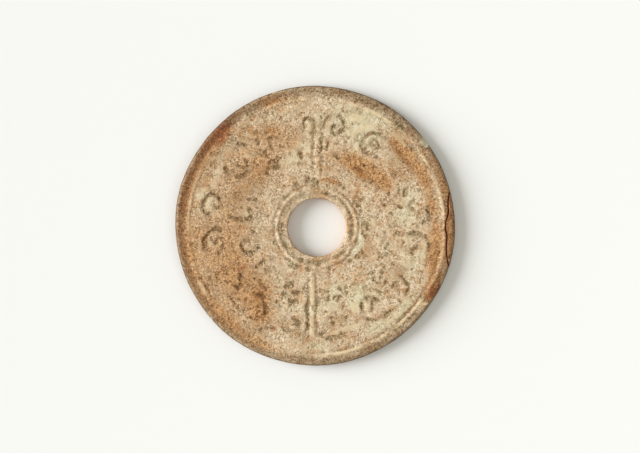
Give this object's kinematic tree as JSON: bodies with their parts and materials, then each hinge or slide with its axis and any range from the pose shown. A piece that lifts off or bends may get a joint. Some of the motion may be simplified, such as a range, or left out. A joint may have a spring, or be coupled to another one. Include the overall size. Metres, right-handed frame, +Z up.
{
  "type": "jade bi disc",
  "caption": "Flat round ring of weathered pale jade with an off-centre hole, raised border lines and carved cloud scrolls in four quarters.",
  "frame": {"origin": "under the middle of the disc, on the surface that it lies on", "axes": "+Z up, out of the carved face; +Y along one of the four raised bars that quarter the field (12 o'clock of the carved face), +X towards 3 o'clock, where the cracked crescent of the rim is"},
  "size_m": [0.1002, 0.1002, 0.005],
  "materials": {
    "jade": "low satin polish on worn, mottled cream and olive-brown nephrite with chalky altered patches and russet stains"
  },
  "bodies": {
    "root": {"bi_disc": "jade"}
  },
  "joints": []
}
